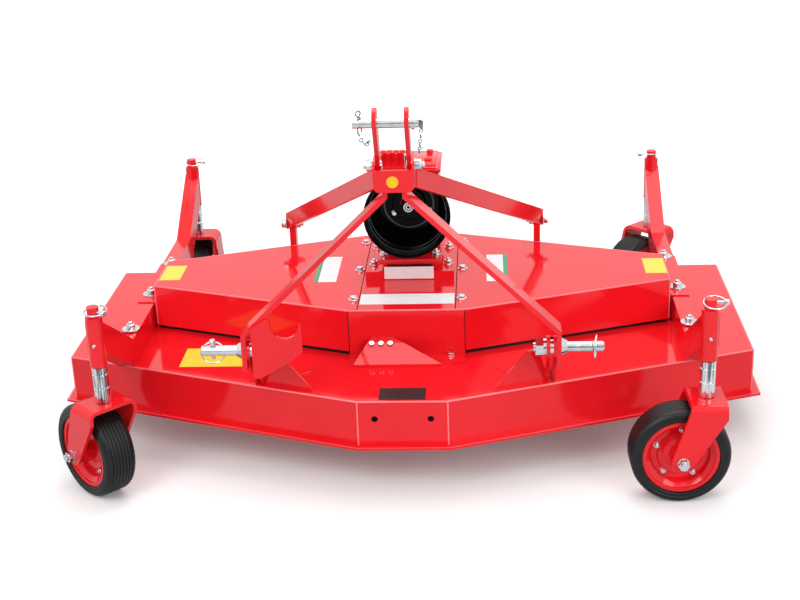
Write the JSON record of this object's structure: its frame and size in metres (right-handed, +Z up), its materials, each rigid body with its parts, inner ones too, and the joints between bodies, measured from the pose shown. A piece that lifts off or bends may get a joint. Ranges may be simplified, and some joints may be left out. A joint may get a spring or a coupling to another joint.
{
  "type": "finishing mower",
  "caption": "Red three-point finishing mower: a low faceted deck with belt covers, swivelling gauge wheels on raised arms, a hitch frame, an upright gearbox and a shielded input shaft.",
  "frame": {"origin": "on the ground, below the middle of the whole machine", "axes": "+X along the mower's width, +Y away from the tractor, +Z up"},
  "size_m": [1.596, 1.3515, 0.8572],
  "materials": {
    "red_enamel": "gloss",
    "zinc_plate": "zinc plated",
    "bare_steel": "machined",
    "tyre_rubber": "matte",
    "black_plastic": "satin"
  },
  "bodies": {
    "frame": {"deck_top": "red_enamel", "deck_side_left": "red_enamel", "deck_front_left": "red_enamel", "deck_nose": "red_enamel", "deck_front_right": "red_enamel", "deck_side_right": "red_enamel", "belt_cover_left": "red_enamel", "belt_cover_centre": "red_enamel", "belt_cover_right": "red_enamel", "cover_tongue": "red_enamel", "caster_arm_front_left": "red_enamel", "caster_arm_front_right": "red_enamel", "caster_arm_rear_left": "red_enamel", "caster_arm_rear_right": "red_enamel", "mast_head": "red_enamel", "front_stay_left": "red_enamel", "front_stay_right": "red_enamel", "rear_stay_left": "red_enamel", "rear_stay_right": "red_enamel", "rear_posts": "red_enamel", "hitch_bracket_left": "red_enamel", "hitch_bracket_right": "red_enamel", "hitch_pin_left": "zinc_plate", "hitch_pin_right": "zinc_plate", "shaft_rest": "red_enamel", "lug_bolts": "zinc_plate", "gearbox_stand": "red_enamel", "gearbox": "red_enamel", "pto_shield": "black_plastic", "spindle_housings": "red_enamel"},
    "caster_front_left": {"fork_front_left": "red_enamel", "spacers_front_left": "zinc_plate", "axle_front_left": "zinc_plate"},
    "wheel_front_left": {"rim_front_left": "red_enamel", "tyre_front_left": "tyre_rubber"},
    "caster_front_right": {"fork_front_right": "red_enamel", "spacers_front_right": "zinc_plate", "axle_front_right": "zinc_plate"},
    "wheel_front_right": {"rim_front_right": "red_enamel", "tyre_front_right": "tyre_rubber"},
    "caster_rear_left": {"fork_rear_left": "red_enamel", "spacers_rear_left": "zinc_plate", "axle_rear_left": "zinc_plate"},
    "wheel_rear_left": {"rim_rear_left": "red_enamel", "tyre_rear_left": "tyre_rubber"},
    "caster_rear_right": {"fork_rear_right": "red_enamel", "spacers_rear_right": "zinc_plate", "axle_rear_right": "zinc_plate"},
    "wheel_rear_right": {"rim_rear_right": "red_enamel", "tyre_rear_right": "tyre_rubber"},
    "top_link": {"link_lug_left": "red_enamel", "link_lug_right": "red_enamel", "link_pin": "zinc_plate"},
    "blade_centre": {"blade_centre": "bare_steel"},
    "blade_left": {"blade_left": "bare_steel"},
    "blade_right": {"blade_right": "bare_steel"},
    "input_shaft": {"pto_shaft": "bare_steel"}
  },
  "joints": [
    {"name": "swivel_front_left", "type": "hinge", "parent": "frame", "child": "caster_front_left", "pos_m": [-0.635, -0.5958, 0.3146], "axis": [0, 0, 1], "continuous": true},
    {"name": "roll_front_left", "type": "hinge", "parent": "caster_front_left", "child": "wheel_front_left", "pos_m": [-0.67312, -0.55898, 0.1055], "axis": [-0.6947, -0.7193, 0], "continuous": true},
    {"name": "swivel_front_right", "type": "hinge", "parent": "frame", "child": "caster_front_right", "pos_m": [0.635, -0.5958, 0.3146], "axis": [0, 0, 1], "continuous": true},
    {"name": "roll_front_right", "type": "hinge", "parent": "caster_front_right", "child": "wheel_front_right", "pos_m": [0.58203, -0.59756, 0.1055], "axis": [0.0332, -0.9995, 0], "continuous": true},
    {"name": "swivel_rear_left", "type": "hinge", "parent": "frame", "child": "caster_rear_left", "pos_m": [-0.635, 0.5172, 0.3146], "axis": [0, 0, 1], "continuous": true},
    {"name": "roll_rear_left", "type": "hinge", "parent": "caster_rear_left", "child": "wheel_rear_left", "pos_m": [-0.635, 0.5702, 0.1055], "axis": [-1, 0, 0], "continuous": true},
    {"name": "swivel_rear_right", "type": "hinge", "parent": "frame", "child": "caster_rear_right", "pos_m": [0.635, 0.5172, 0.3146], "axis": [0, 0, 1], "continuous": true},
    {"name": "roll_rear_right", "type": "hinge", "parent": "caster_rear_right", "child": "wheel_rear_right", "pos_m": [0.59752, 0.47972, 0.1055], "axis": [0.7071, -0.7071, 0], "continuous": true},
    {"name": "top_link_swing", "type": "hinge", "parent": "frame", "child": "top_link", "pos_m": [0, -0.5498, 0.7266], "axis": [-1, 0, 0], "range_deg": [0, 60]},
    {"name": "blade_centre_spin", "type": "hinge", "parent": "frame", "child": "blade_centre", "pos_m": [0, -0.2698, 0.118], "axis": [0, 0, 1], "continuous": true},
    {"name": "blade_left_spin", "type": "hinge", "parent": "frame", "child": "blade_left", "pos_m": [-0.5, -0.0298, 0.118], "axis": [0, 0, 1], "continuous": true},
    {"name": "blade_right_spin", "type": "hinge", "parent": "frame", "child": "blade_right", "pos_m": [0.5, -0.0298, 0.118], "axis": [0, 0, 1], "continuous": true},
    {"name": "input_shaft_spin", "type": "hinge", "parent": "frame", "child": "input_shaft", "pos_m": [0, -0.0978, 0.4926], "axis": [0, 1, 0], "continuous": true}
  ],
  "couplings": [
    {"joint": "blade_left_spin", "follows": "blade_centre_spin", "ratio": 1},
    {"joint": "blade_right_spin", "follows": "blade_centre_spin", "ratio": 1},
    {"joint": "input_shaft_spin", "follows": "blade_centre_spin", "ratio": 0.24}
  ]
}
